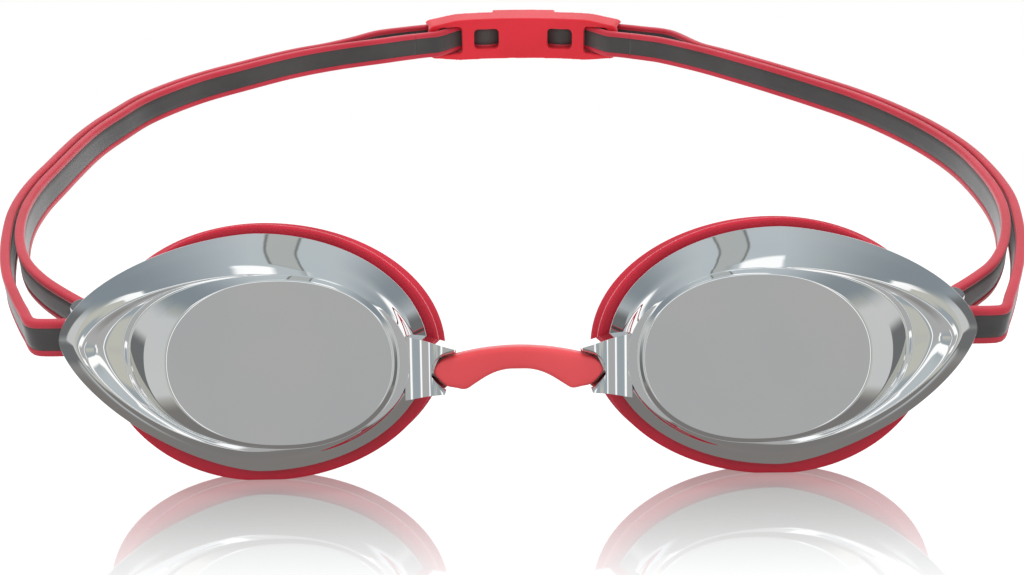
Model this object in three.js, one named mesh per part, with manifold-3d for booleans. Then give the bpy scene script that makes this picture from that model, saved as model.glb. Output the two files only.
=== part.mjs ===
// Racing swim goggles: two one-piece mirrored lenses with strap wings, two silicone
// gaskets, a nosepiece, and a doubled silicone strap held by a clip behind the head.
// Millimetres. X to the right as seen from the front, Y back towards the head, Z up.
// Names say left and right as seen from the front.
// The goggles stand on their gaskets at z = 0.
import * as THREE from 'three';
import { mergeVertices } from 'three/addons/utils/BufferGeometryUtils.js';
import Module from 'manifold-3d';

const wasm = await Module();
wasm.setup();

// ---- driving dimensions ----
const GAP = 0.35;             // between parts that touch

// lenses, in front view; x from the middle of the nose
const TIP_X = 77.6;           // wing tip
const RIM_NASAL_X = 15.3;     // rim beside the nose
const EYE_REACH = 29.2;       // widest height, from the rim beside the nose
const RIM_HALF_HEIGHT = 20.55;
const RIM_Y = 9.0;            // rim behind the window plane
const TIP_Y = 6.2;            // wing tip behind the window plane
const RIM_THICKNESS = 1.25;
const WINDOW_NASAL_MARGIN = 5.3;
const WINDOW_TEMPLE_MARGIN = 19.6;
const WINDOW_MARGIN = 6.9;    // above and below the flat window
const RIDGE_NASAL_MARGIN = 2.7;
const RIDGE_TEMPLE_MARGIN = 5.0;
const RIDGE_MARGIN = 5.75;
const WALL = 1.8;             // lens wall
const SKIRT_LENGTH = 2.35;    // behind the rim
const SKIRT_INSET = 1.9;      // of the skirt inside the rim

// gaskets
const LIP_REACH = 1.75;       // front lip beyond the rim
const FLANGE_REACH = 1.9;     // face flange beyond the rim
const FLANGE_NASAL_REACH = 2.6;
const FLANGE_TO_TIP = 2.6;    // wing tip beyond the flange
const GASKET_DROP = 0.35;     // middle of the gasket below the middle of the lens
const FLANGE_BEHIND = 2.8;    // flange behind the lens skirt
const FLANGE_THICKNESS = 1.7;
const SEAL_DEPTH = 5.0;       // rearmost line of the face seal behind the flange
const FLANGE_TO_STRAP = 1.9;  // clearance in front of the flange at the temple
const SEAL_INSET = 5.2;
const FOOT_DEPTH = 0.3;       // flat ground off the gasket so that it stands

// nosepiece and its sockets
const NOSE_ARCH_TOP = 1.35;   // above the middle of the lens
const NOSE_ARCH_THICKNESS = 3.8;
const NOSE_END_GAP = 1.2;     // between the end of the nosepiece and the rim's line
const NOSE_FRONT_Y = 2.4;
const NOSE_DEPTH = 4.4;
const SOCKET_GAP = 0.5;
const SOCKET_FLOOR = 1.3;
const SOCKET_LIP = 1.1;
const SOCKET_CHEEK = 4.7;     // block beyond the end of the nosepiece

// strap, its plane leaning back through the two temple bars
const STRAP_WIDTH = 7.0;
const STRAP_THICKNESS = 1.8;
const STRAP_RISE_DEG = 24;
const BAR_INSET = 2.6;        // bar inside the wing tip
const BAR_BEHIND_TIP = 6.8;
const BAR_ABOVE_MIDDLE = 3.9;
const BAR_RADIUS = 1.1;
const LUG_THICKNESS = 1.6;
const LUG_INNER = 1.6;        // lug from the bar's line towards the nose
const LUG_OUTER = 1.5;        // and away from it
const LUG_LEAN = 2.2;         // a lug's foot is this much nearer the nose than its bar
const STRAP_TO_SKIRT = 2.6;   // room for the gasket between the bend and the lens skirt
const CUT_REACH = 3.4;        // bend round the bar ends beyond the wing tip
const NEST_GAP = 0.5;         // between the two runs where they lie together

// back of the loop: a round arc about the strap plane's own middle line
const BACK_RADIUS = 85.0;
const BACK_T = 156.5;         // furthest point of the inner run from the bars
const ARC_BEYOND_CLIP = 12.7; // the arc ends this far past each end of the clip
const WIDEST = { left: [99.9, 54.0], right: [98.5, 54.1] };

// clip
const CLIP_MIDDLE_DEG = 2.1;
const CLIP_BORDER = 2.3;      // above and below the strap
const CLIP_END_BORDER = 1.2;
const CLIP_END_BAR = 2.4;
const CLIP_CROSSBAR = 3.3;
const CLIP_CENTRE = 6.7;      // half of the solid middle
const CLIP_PLATE = 2.0;
const CLIP_BACK = 1.4;
const CLIP_GAP = 0.5;
const SLOT_LENGTH = 6.8;
const WINDOW_LENGTH = 6.8;
const KEEPER_HALF_LENGTH = 8.0;
const STRAP_END_GRIP = 3.7;   // strap past the window, under the solid middle
const OUTER_HALF_SPLIT = 1.5; // the outer run's two ends from the clip's middle

// ---- derived ----
const MIDDLE_Z = RIM_HALF_HEIGHT + FLANGE_REACH + GASKET_DROP - FOOT_DEPTH;
const GASKET_Z = MIDDLE_Z - GASKET_DROP;
const EYE_X = RIM_NASAL_X + EYE_REACH;
const NOSE_END_X = RIM_NASAL_X - NOSE_END_GAP;
const STRAP_RISE = THREE.MathUtils.degToRad(STRAP_RISE_DEG);
const HALF_THICKNESS = STRAP_THICKNESS / 2;
const HALF_WIDTH = STRAP_WIDTH / 2;
const BEND_RADIUS = BAR_RADIUS + GAP + HALF_THICKNESS;
const NEST = STRAP_THICKNESS + NEST_GAP;
const BAR_X = TIP_X - BAR_INSET;
const BAR_Y = TIP_Y + BAR_BEHIND_TIP;
const BAR_Z = MIDDLE_Z + BAR_ABOVE_MIDDLE;
const BEND_REAR_Y = BAR_Y + (BEND_RADIUS + HALF_THICKNESS) * Math.cos(STRAP_RISE)
  + HALF_WIDTH * Math.sin(STRAP_RISE);
const CUT_X = TIP_X + CUT_REACH;
const SKIRT_X = BAR_X - BEND_RADIUS - HALF_THICKNESS - STRAP_TO_SKIRT;
const SKIRT_END_Y = RIM_Y + RIM_THICKNESS + SKIRT_LENGTH;
const FLANGE_TEMPLE_X = TIP_X - FLANGE_TO_TIP;
const FLANGE_Y = SKIRT_END_Y + FLANGE_BEHIND;
const TEMPLE_SWEEP = BEND_REAR_Y + FLANGE_TO_STRAP - FLANGE_Y;
const SEAL_Y = FLANGE_Y + SEAL_DEPTH;
const CLIP_WINDOW_AT = CLIP_CENTRE + WINDOW_LENGTH / 2;
const SLOT_AT = CLIP_CENTRE + WINDOW_LENGTH + CLIP_CROSSBAR + SLOT_LENGTH / 2;
const CLIP_HALF_LENGTH = SLOT_AT + SLOT_LENGTH / 2 + CLIP_END_BAR;
const STRAP_END_AT = CLIP_CENTRE - STRAP_END_GRIP;
const PLATE_FRONT = HALF_THICKNESS + CLIP_GAP;
const PLATE_REAR = PLATE_FRONT + CLIP_PLATE;
const WEAVE_REAR = PLATE_REAR + CLIP_GAP + HALF_THICKNESS;
const WEAVE_BULGE = WEAVE_REAR - 0.9; // the strap pushes forward into each window
const OUTER_AT_CLIP = WEAVE_REAR + STRAP_THICKNESS + CLIP_GAP;
const CLIP_REAR = OUTER_AT_CLIP + HALF_THICKNESS + CLIP_GAP + CLIP_BACK;

const RING_POINTS = 44;
const RUN_STEPS = 52;
const WOVEN_STEPS = 22;
const LEAVING_DEG = 135;      // where the inner run leaves the bend round the bar

// ---- materials ----
const mirror = new THREE.MeshStandardMaterial({ color: 0xb4babd, roughness: 0.06, metalness: 1.0 });
const crimson = new THREE.MeshStandardMaterial({ color: 0xcf1338, roughness: 0.5, metalness: 0.0 });
const coral = new THREE.MeshStandardMaterial({ color: 0xe6505a, roughness: 0.45, metalness: 0.0 });
const strapRed = new THREE.MeshStandardMaterial({ color: 0xc24a58, roughness: 0.5, metalness: 0.0 });
const clipRed = new THREE.MeshStandardMaterial({ color: 0xe0343f, roughness: 0.4, metalness: 0.0 });

// ---- geometry helpers ----

// A closed body from a row of closed rings; the two end rings are capped, or joined
// to each other when the row itself closes.
function loft(rings, closes = false) {
  const count = rings[0].length;
  const positions = rings.flat().flatMap((p) => [p.x, p.y, p.z]);
  const index = [];
  const spans = closes ? rings.length : rings.length - 1;
  for (let i = 0; i < spans; i++) {
    const a = i * count;
    const b = ((i + 1) % rings.length) * count;
    for (let j = 0; j < count; j++) {
      const k = (j + 1) % count;
      index.push(a + j, b + j, b + k, a + j, b + k, a + k);
    }
  }
  if (!closes) {
    for (const [at, flip] of [[0, false], [rings.length - 1, true]]) {
      const start = at * count;
      const middle = rings[at].reduce((sum, p) => sum.add(p), new THREE.Vector3()).divideScalar(count);
      const centre = positions.length / 3;
      positions.push(middle.x, middle.y, middle.z);
      for (let j = 0; j < count; j++) {
        const k = (j + 1) % count;
        index.push(centre, start + (flip ? k : j), start + (flip ? j : k));
      }
    }
  }
  const geometry = new THREE.BufferGeometry();
  geometry.setAttribute('position', new THREE.Float32BufferAttribute(positions, 3));
  geometry.setIndex(index);
  return facingOut(geometry);
}

function signedVolume(geometry) {
  const p = geometry.getAttribute('position');
  const index = geometry.getIndex();
  const [a, b, c] = [new THREE.Vector3(), new THREE.Vector3(), new THREE.Vector3()];
  let volume = 0;
  for (let i = 0; i < index.count; i += 3) {
    a.fromBufferAttribute(p, index.getX(i));
    b.fromBufferAttribute(p, index.getX(i + 1));
    c.fromBufferAttribute(p, index.getX(i + 2));
    volume += a.dot(b.cross(c)) / 6;
  }
  return volume;
}

function flipped(geometry) {
  const index = Array.from(geometry.getIndex().array);
  for (let i = 0; i < index.length; i += 3) {
    [index[i + 1], index[i + 2]] = [index[i + 2], index[i + 1]];
  }
  geometry.setIndex(index);
  return geometry;
}

function facingOut(geometry) {
  return signedVolume(geometry) < 0 ? flipped(geometry) : geometry;
}

function welded(geometry) {
  const copy = geometry.clone();
  for (const name of Object.keys(copy.attributes)) {
    if (name !== 'position') copy.deleteAttribute(name);
  }
  return mergeVertices(copy, 1e-4);
}

function solid(geometry) {
  const mesh = welded(geometry);
  return new wasm.Manifold(new wasm.Mesh({
    numProp: 3,
    vertProperties: new Float32Array(mesh.getAttribute('position').array),
    triVerts: new Uint32Array(mesh.getIndex().array),
  }));
}

function geometryOf(manifold) {
  const { vertProperties, triVerts } = manifold.getMesh();
  const geometry = new THREE.BufferGeometry();
  geometry.setAttribute('position', new THREE.BufferAttribute(new Float32Array(vertProperties), 3));
  geometry.setIndex(new THREE.BufferAttribute(new Uint32Array(triVerts), 1));
  return geometry;
}

function mirroredX(geometry) {
  return flipped(welded(geometry).scale(-1, 1, 1));
}

function box(x0, x1, y0, y1, z0, z1) {
  return new THREE.BoxGeometry(x1 - x0, y1 - y0, z1 - z0)
    .translate((x0 + x1) / 2, (y0 + y1) / 2, (z0 + z1) / 2);
}

const signedPower = (value, power) => Math.sign(value) * Math.abs(value) ** power;

// ---- lens and gasket rings ----

// A closed outline round one eye, drawn for the +X lens: a superellipse whose nasal and
// temple halves have their own reach, fullness and depth.
function eyeRing({ nasal, temple, midX = EYE_X, half, midZ = MIDDLE_Z, lift = 0,
  fullNasal = 2, fullTemple = 1.6, y, templeY = y }) {
  const ring = [];
  for (let i = 0; i < RING_POINTS; i++) {
    const angle = (i / RING_POINTS) * Math.PI * 2;
    const c = Math.cos(angle);
    const s = Math.sin(angle);
    const out = c >= 0;
    const power = 2 / (out ? fullTemple : fullNasal);
    const reach = out ? temple - midX : midX - nasal;
    const templeness = ((1 + c) / 2) ** 4;
    ring.push(new THREE.Vector3(
      midX + reach * signedPower(c, power),
      y + (templeY - y) * templeness,
      midZ + half * signedPower(s, power) + lift * Math.max(0, c) ** 2,
    ));
  }
  return ring;
}

const WINDOW_NASAL_X = RIM_NASAL_X + WINDOW_NASAL_MARGIN;
const WINDOW_TEMPLE_X = TIP_X - WINDOW_TEMPLE_MARGIN;

const windowOutline = (grow) => ({
  midX: (WINDOW_NASAL_X + WINDOW_TEMPLE_X) / 2,
  nasal: WINDOW_NASAL_X - grow,
  temple: WINDOW_TEMPLE_X + grow,
  half: RIM_HALF_HEIGHT - WINDOW_MARGIN + grow,
  midZ: MIDDLE_Z - 0.5,
  fullNasal: 2.15,
  fullTemple: 2.15,
});

// Where the lens steps back from its raised front to the outer band.
const ridgeOutline = {
  midX: EYE_X - 0.5,
  nasal: RIM_NASAL_X + RIDGE_NASAL_MARGIN,
  temple: TIP_X - RIDGE_TEMPLE_MARGIN,
  half: RIM_HALF_HEIGHT - RIDGE_MARGIN,
  midZ: MIDDLE_Z - 0.7,
  lift: 2.4,
  fullNasal: 2.2,
  fullTemple: 1.65,
};

const rimOutline = (inset) => ({
  nasal: RIM_NASAL_X + inset,
  temple: TIP_X - inset,
  half: RIM_HALF_HEIGHT - inset,
  lift: 3.0,
});

const skirtOutline = (inset) => ({
  nasal: RIM_NASAL_X + SKIRT_INSET + inset,
  temple: SKIRT_X - inset,
  half: RIM_HALF_HEIGHT - SKIRT_INSET - inset,
  fullTemple: 2.0,
});

// Rings from the edge of the window outwards over the front, round the rim, back along
// the skirt and forward again inside. The window's temple side has a bevel, then a
// groove, before the ridge.
function lensShell() {
  const rimRearY = RIM_Y + RIM_THICKNESS;
  const tipRearY = TIP_Y + RIM_THICKNESS;
  return loft([
    eyeRing({ ...windowOutline(0), y: 0 }),
    eyeRing({ ...windowOutline(0.5), temple: WINDOW_TEMPLE_X + 4.1, y: 0.5, templeY: 2.3 }),
    eyeRing({ ...windowOutline(0.9), temple: WINDOW_TEMPLE_X + 7.9, lift: 1.8, y: 0.8, templeY: 4.6 }),
    eyeRing({ ...ridgeOutline, y: 1.1, templeY: 4.0 }),
    eyeRing({ ...rimOutline(2.4), lift: 3.2, y: RIM_Y * 0.56, templeY: TIP_Y - 1.5 }),
    eyeRing({ ...rimOutline(0), y: RIM_Y, templeY: TIP_Y }),
    eyeRing({ ...rimOutline(0.3), y: rimRearY, templeY: tipRearY }),
    eyeRing({ ...skirtOutline(0), y: rimRearY, templeY: tipRearY + 0.4 }),
    eyeRing({ ...skirtOutline(0), y: SKIRT_END_Y }),
    eyeRing({ ...skirtOutline(WALL), y: SKIRT_END_Y }),
    eyeRing({ ...skirtOutline(WALL), y: RIM_Y - 0.4 }),
    eyeRing({ ...windowOutline(1.1), temple: SKIRT_X - 3.4, y: WALL + 1.6, templeY: TIP_Y + 1.0 }),
    eyeRing({ ...windowOutline(-0.4), y: WALL }),
  ]);
}

// ---- nosepiece ----
const ARCH_TOP_Z = MIDDLE_Z + NOSE_ARCH_TOP;

// Half the outline, from the top of the arch round the end to the underside: a share of
// the half length, and a height under the top of the arch or under its underside.
const noseUpper = [
  [0, 0], [0.32, -0.25], [0.525, -0.65], [0.73, -1.25], [0.9, -2.0], [0.972, -2.95],
];
const noseLower = [
  [1, -0.4], [0.943, -1.6], [0.851, -2.75], [0.745, -3.1], [0.631, -3.35],
  [0.525, -2.5], [0.397, -1.35], [0.27, -0.5], [0.135, -0.05], [0, 0],
];

function noseOutline() {
  const along = (list, topZ) => list.map(([share, z]) => new THREE.Vector2(share * NOSE_END_X, topZ + z));
  const right = [...along(noseUpper, ARCH_TOP_Z), ...along(noseLower, ARCH_TOP_Z - NOSE_ARCH_THICKNESS)];
  const left = right.slice(1, -1).reverse().map((p) => new THREE.Vector2(-p.x, p.y));
  return [...right, ...left];
}

// The outline moved outwards by a distance.
function grown(points, distance) {
  const count = points.length;
  const clockwise = THREE.ShapeUtils.isClockWise(points);
  return points.map((p, i) => {
    const before = points[(i + count - 1) % count];
    const after = points[(i + 1) % count];
    const along = after.clone().sub(before).normalize();
    const out = new THREE.Vector2(along.y, -along.x).multiplyScalar(clockwise ? -1 : 1);
    return p.clone().add(out.multiplyScalar(distance));
  });
}

function frontPlate(points, y0, y1, bevel = 0) {
  const shape = new THREE.Shape(points);
  const geometry = new THREE.ExtrudeGeometry(shape, {
    depth: y1 - y0 - 2 * bevel, bevelEnabled: bevel > 0, bevelThickness: bevel,
    bevelSize: bevel, bevelOffset: -bevel, bevelSegments: 2,
  });
  return geometry.rotateX(Math.PI / 2).translate(0, y1 - bevel, 0);
}

const NOSE_REAR_Y = NOSE_FRONT_Y + NOSE_DEPTH;

function nosepiece() {
  return welded(frontPlate(noseOutline(), NOSE_FRONT_Y, NOSE_REAR_Y, 0.8));
}

// Socket block beside the nose, with a lip over the nosepiece.
function socketBlock() {
  const lip = SOCKET_GAP + SOCKET_LIP;
  const outerX = NOSE_END_X + SOCKET_CHEEK;
  const outline = [
    [outerX, 2.2], [NOSE_END_X - 1.7, lip - 1.3], [NOSE_END_X - 3.5, lip - 1.8],
    [NOSE_END_X - 3.5, -1.6], [NOSE_END_X - 1.9, -3.9 - NOSE_ARCH_THICKNESS],
    [outerX, -4.8 - NOSE_ARCH_THICKNESS],
  ].map(([x, z]) => new THREE.Vector2(x, ARCH_TOP_Z + z));
  const block = solid(frontPlate(outline, NOSE_FRONT_Y - 0.9, NOSE_REAR_Y + SOCKET_GAP + SOCKET_FLOOR));
  const inFront = -10;
  const pocket = solid(frontPlate(grown(noseOutline(), SOCKET_GAP), inFront, NOSE_REAR_Y + SOCKET_GAP));
  return block.subtract(pocket);
}

// ---- strap plane ----
// Points are (x, t, w): t runs back along the plane from the bars, w across the strap.
const strapFrame = new THREE.Matrix4()
  .makeTranslation(0, BAR_Y, BAR_Z)
  .multiply(new THREE.Matrix4().makeRotationX(STRAP_RISE));

function strapBar() {
  const reach = HALF_WIDTH + GAP + LUG_THICKNESS;
  const bar = new THREE.CylinderGeometry(BAR_RADIUS, BAR_RADIUS, 2 * reach - 0.4, 16)
    .rotateX(Math.PI / 2).translate(BAR_X, 0, 0);
  const inner = HALF_WIDTH + GAP;
  const foot = BAR_X - LUG_LEAN;
  const lug = (front, low, high) => new THREE.ExtrudeGeometry(new THREE.Shape([
    [foot - LUG_INNER, -front], [foot + LUG_OUTER, -front],
    [BAR_X + LUG_OUTER, -BAR_RADIUS], [BAR_X + LUG_OUTER, BAR_RADIUS],
    [BAR_X - LUG_INNER, BAR_RADIUS], [BAR_X - LUG_INNER, -BAR_RADIUS],
  ].map(([x, t]) => new THREE.Vector2(x, t))), { depth: high - low, bevelEnabled: false })
    .translate(0, 0, low);
  const upper = lug(BAR_BEHIND_TIP - 1.2, inner, reach);
  const lower = lug(BAR_BEHIND_TIP + 2.2, -reach, -inner);
  const parts = [bar, upper, lower].map((g) => solid(g.applyMatrix4(strapFrame)));
  return parts[0].add(parts[1]).add(parts[2]);
}

function lens() {
  return geometryOf(solid(lensShell()).add(socketBlock()).add(strapBar()));
}

// ---- gasket ----
function gasket() {
  const lipY = RIM_Y + RIM_THICKNESS + GAP;
  const lipTempleY = TIP_Y + RIM_THICKNESS + GAP + 0.9;
  const outline = { midZ: GASKET_Z, lift: 0, fullTemple: 2 };
  const lip = { ...rimOutline(-LIP_REACH), ...outline, temple: SKIRT_X + 1.7 };
  const flange = (inset) => ({ ...rimOutline(-FLANGE_REACH + inset), ...outline,
    nasal: RIM_NASAL_X - FLANGE_NASAL_REACH + inset, temple: FLANGE_TEMPLE_X - inset });
  const inside = skirtOutline(WALL);
  const sweep = (y) => ({ y, templeY: y + TEMPLE_SWEEP });
  const rings = [
    eyeRing({ ...skirtOutline(-GAP), y: lipY, templeY: lipTempleY }),
    eyeRing({ ...lip, y: lipY, templeY: lipTempleY }),
    eyeRing({ ...lip, y: lipY + 1.7, templeY: lipTempleY + 2.4 }),
    eyeRing({ ...lip, nasal: lip.nasal + 1.3, half: lip.half - 1.3, temple: lip.temple - 0.9,
      y: lipY + 2.6, templeY: lipTempleY + 4.2 }),
    eyeRing({ ...flange(0.5), ...sweep(FLANGE_Y) }),
    eyeRing({ ...flange(0), ...sweep(FLANGE_Y + FLANGE_THICKNESS / 2) }),
    eyeRing({ ...flange(0.9), ...sweep(FLANGE_Y + FLANGE_THICKNESS + 0.8) }),
    eyeRing({ ...flange(2.9), ...sweep(SEAL_Y) }),
    eyeRing({ ...flange(SEAL_INSET), ...sweep(SEAL_Y - 0.9) }),
    eyeRing({ ...inside, ...sweep(SEAL_Y - 4.6) }),
    eyeRing({ ...inside, y: SKIRT_END_Y + GAP }),
    eyeRing({ ...skirtOutline(-GAP), y: SKIRT_END_Y + GAP }),
  ];
  const ground = box(0, 2 * TIP_X, -TIP_X, TIP_X, -TIP_X, 0);
  return geometryOf(solid(loft(rings, true)).subtract(solid(ground)));
}

// ---- strap runs ----

// A flat strap along a route of (x, t) points; its ends may be cut square to x.
function strapAlong(route, { cutStart = false, cutEnd = false } = {}) {
  const chamfer = 0.4;
  const h = HALF_THICKNESS;
  const w = HALF_WIDTH;
  const section = [
    [h, w - chamfer], [h - chamfer, w], [-h + chamfer, w], [-h, w - chamfer],
    [-h, -w + chamfer], [-h + chamfer, -w], [h - chamfer, -w], [h, -w + chamfer],
  ];
  const rings = route.map((point, i) => {
    const before = route[Math.max(0, i - 1)];
    const after = route[Math.min(route.length - 1, i + 1)];
    const along = after.clone().sub(before).normalize();
    const across = new THREE.Vector2(-along.y, along.x);
    if ((cutStart && i === 0) || (cutEnd && i === route.length - 1)) across.set(0, 1 / along.x);
    return section.map(([n, v]) => new THREE.Vector3(point.x + across.x * n, point.y + across.y * n, v));
  });
  return welded(loft(rings)).applyMatrix4(strapFrame);
}

function smoothRoute(points, steps) {
  const through = points.map((p) => new THREE.Vector3(p.x, p.y, 0));
  const curve = new THREE.CatmullRomCurve3(through, false, 'centripetal');
  return curve.getSpacedPoints(steps).map((p) => new THREE.Vector2(p.x, p.y));
}

// A point at an angle round the back arc, and a distance outside the inner run.
function onArc(degrees, outside) {
  const a = THREE.MathUtils.degToRad(degrees);
  const radius = BACK_RADIUS + outside;
  return new THREE.Vector2(radius * Math.sin(a), BACK_T - BACK_RADIUS + radius * Math.cos(a));
}

const degreesOf = (length) => THREE.MathUtils.radToDeg(length / BACK_RADIUS);

// Shape points of each side, with x outwards, as shares of the way in x and in t.
// From the bar to the widest point of the inner run:
const innerFront = {
  left: [[0.285, 0.174], [0.474, 0.263], [0.675, 0.389], [0.859, 0.581], [0.972, 0.796]],
  right: [[0.302, 0.174], [0.502, 0.266], [0.689, 0.399], [0.868, 0.591], [0.97, 0.784]],
};
// and from there to the back arc:
const innerRear = {
  left: [[0.011, 0.105], [0.049, 0.324], [0.096, 0.436], [0.158, 0.549], [0.299, 0.686],
    [0.469, 0.792], [0.636, 0.883], [0.801, 0.946]],
  right: [[0.019, 0.151], [0.081, 0.291], [0.182, 0.428], [0.279, 0.525], [0.406, 0.625],
    [0.53, 0.715], [0.667, 0.809], [0.82, 0.907]],
};
// The outer run, from the bend to the widest point, before it meets the inner one:
const outerFront = {
  left: [[0.149, 0.074], [0.33, 0.178], [0.543, 0.317], [0.745, 0.5]],
  right: [[0.149, 0.081], [0.333, 0.194], [0.54, 0.338], [0.73, 0.499]],
};
const NESTED_FROM = 0.65;     // share of the way to the widest point
const SPREAD_LENGTH = 18.0;   // over which the outer run leaves the inner one again
const SPREAD_BEFORE_CLIP = 6.0;

function between(from, to, shares) {
  const way = to.clone().sub(from);
  return shares.map(([u, v]) => new THREE.Vector2(from.x + way.x * u, from.y + way.y * v));
}

function pointAtX(a, b, x) {
  return new THREE.Vector2(x, a.y + ((b.y - a.y) * (x - a.x)) / (b.x - a.x));
}

function onBend(degrees) {
  const a = THREE.MathUtils.degToRad(degrees);
  return new THREE.Vector2(BAR_X + BEND_RADIUS * Math.cos(a), BEND_RADIUS * Math.sin(a));
}

function arcRun(fromDegrees, toDegrees, outside, count) {
  return Array.from({ length: count }, (_, i) =>
    onArc(fromDegrees + ((toDegrees - fromDegrees) * i) / (count - 1), outside));
}

function innerRoute(side, clipDegrees) {
  const widest = new THREE.Vector2(...WIDEST[side]);
  const arcDegrees = clipDegrees + degreesOf(CLIP_HALF_LENGTH + ARC_BEYOND_CLIP);
  const endDegrees = clipDegrees + degreesOf(CLIP_HALF_LENGTH);
  return smoothRoute([
    onBend(LEAVING_DEG), ...between(new THREE.Vector2(BAR_X, 0), widest, innerFront[side]), widest,
    ...between(widest, onArc(arcDegrees, 0), innerRear[side]), ...arcRun(arcDegrees, endDegrees, 0, 3),
  ], RUN_STEPS * 2);
}

// The outer run: round the temple, beside the inner run, then apart again behind the clip.
function outerRoute(side, clipDegrees, inner) {
  const widest = new THREE.Vector2(...WIDEST[side]).add(new THREE.Vector2(NEST, 0));
  const arcDegrees = clipDegrees + degreesOf(CLIP_HALF_LENGTH + ARC_BEYOND_CLIP);
  const endDegrees = clipDegrees + degreesOf(OUTER_HALF_SPLIT);
  const start = new THREE.Vector2(CUT_X + 2.4, -BEND_RADIUS + 0.4);
  const arcStart = onArc(arcDegrees, 0);
  const spreadEnd = CLIP_HALF_LENGTH + SPREAD_BEFORE_CLIP;
  const leaving = new THREE.Vector2(CUT_X + GAP, -BEND_RADIUS);
  const route = [leaving, start, ...between(start, widest, outerFront[side])];
  for (let i = 4; i < inner.length - 1; i += 4) {
    const p = inner[i];
    if (p.y < widest.y * NESTED_FROM || p.x < arcStart.x + 4) continue;
    const along = inner[i + 1].clone().sub(inner[i - 1]).normalize();
    const spread = THREE.MathUtils.smoothstep(spreadEnd + SPREAD_LENGTH - p.x, 0, SPREAD_LENGTH);
    const away = NEST + (OUTER_AT_CLIP - NEST) * spread;
    route.push(new THREE.Vector2(p.x + along.y * away, p.y - along.x * away));
  }
  route.push(...arcRun(arcDegrees, endDegrees, OUTER_AT_CLIP, 6));
  return smoothRoute(route, RUN_STEPS);
}

// The end of the strap: in front of the clip's end bar, back through the slot, and
// behind the window to the solid middle.
function wovenRoute(clipDegrees) {
  const at = (length, outside) => onArc(clipDegrees + degreesOf(length), outside);
  const slotHalf = SLOT_LENGTH / 2;
  const windowHalf = WINDOW_LENGTH / 2;
  return smoothRoute([
    at(CLIP_HALF_LENGTH - GAP, 0), at(SLOT_AT + slotHalf + 0.8, 0),
    at(SLOT_AT + slotHalf * 0.6, WEAVE_REAR * 0.2), at(SLOT_AT, WEAVE_REAR * 0.5),
    at(SLOT_AT - slotHalf * 0.6, WEAVE_REAR * 0.8), at(SLOT_AT - slotHalf - 0.8, WEAVE_REAR),
    at(CLIP_WINDOW_AT + windowHalf, WEAVE_REAR), at(CLIP_WINDOW_AT, WEAVE_BULGE),
    at(CLIP_WINDOW_AT - windowHalf, WEAVE_REAR), at(STRAP_END_AT, WEAVE_REAR),
  ], WOVEN_STEPS);
}

function sideRoutes(side) {
  const sign = side === 'left' ? -1 : 1;
  const clipDegrees = sign * CLIP_MIDDLE_DEG;
  const inner = innerRoute(side, clipDegrees);
  const cutAt = inner.findIndex((p) => p.x > CUT_X + GAP);
  const cut = (x) => pointAtX(inner[cutAt - 1], inner[cutAt], x);
  const innerRun = [cut(CUT_X + GAP)];
  for (let i = cutAt + 1; i < inner.length - 1; i += 2) innerRun.push(inner[i]);
  innerRun.push(inner.at(-1));

  // bend round the bar, from the outer run to the inner one
  const bend = [new THREE.Vector2(CUT_X, -BEND_RADIUS), new THREE.Vector2(BAR_X + 2, -BEND_RADIUS)];
  for (let degrees = 270; degrees >= LEAVING_DEG; degrees -= 15) bend.push(onBend(degrees));
  bend.push(...inner.slice(2, cutAt).filter((p) => p.x < CUT_X - 0.8), cut(CUT_X));

  const placed = (route) => route.map((p) => new THREE.Vector2(sign * p.x, p.y));
  return {
    bend: placed(bend),
    innerRun: placed(innerRun),
    outerRun: placed(outerRoute(side, clipDegrees, inner)),
    woven: placed(wovenRoute(clipDegrees)),
  };
}

// ---- clip ----
function clipBlock(fromLength, toLength, frontOutside, rearOutside, halfHeightAt, steps) {
  const rings = [];
  for (let i = 0; i <= steps; i++) {
    const length = fromLength + ((toLength - fromLength) * i) / steps;
    const degrees = CLIP_MIDDLE_DEG + degreesOf(length);
    const w = halfHeightAt(length);
    const front = onArc(degrees, frontOutside);
    const rear = onArc(degrees, rearOutside);
    const corners = [[front, w], [rear, w], [rear, -w], [front, -w]];
    rings.push(corners.map(([p, v]) => new THREE.Vector3(p.x, p.y, v)));
  }
  return solid(loft(rings));
}

function strapClip() {
  const L = CLIP_HALF_LENGTH;
  const halfHeight = HALF_WIDTH + CLIP_BORDER;
  const taper = (length) => halfHeight
    - (CLIP_BORDER - CLIP_END_BORDER) * THREE.MathUtils.smoothstep(Math.abs(length), SLOT_AT - 4, L);
  const channel = () => HALF_WIDTH + GAP;
  const strapHalf = () => HALF_WIDTH;
  const wide = () => halfHeight + 1;
  const past = 4;
  const cuts = [clipBlock(-L - past, L + past, PLATE_REAR, CLIP_REAR - CLIP_BACK, channel, 24)];
  for (const sign of [-1, 1]) {
    const cut = (from, to, front, rear, half) => {
      const [low, high] = sign > 0 ? [from, to] : [-to, -from];
      cuts.push(clipBlock(low, high, front, rear, half, 6));
    };
    cut(KEEPER_HALF_LENGTH, L + past, CLIP_REAR - CLIP_BACK - 0.5, CLIP_REAR + past, wide);
    for (const [middle, length, half] of [[SLOT_AT, SLOT_LENGTH, channel],
      [CLIP_WINDOW_AT, WINDOW_LENGTH, strapHalf]]) {
      cut(middle - length / 2, middle + length / 2, PLATE_FRONT - past, PLATE_REAR + 0.5, half);
    }
  }
  const body = clipBlock(-L, L, PLATE_FRONT, CLIP_REAR, taper, 28);
  const clip = cuts.reduce((left, cut) => left.subtract(cut), body);
  return geometryOf(clip).applyMatrix4(strapFrame);
}

// ---- assembly ----
const goggles = new THREE.Group();

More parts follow.
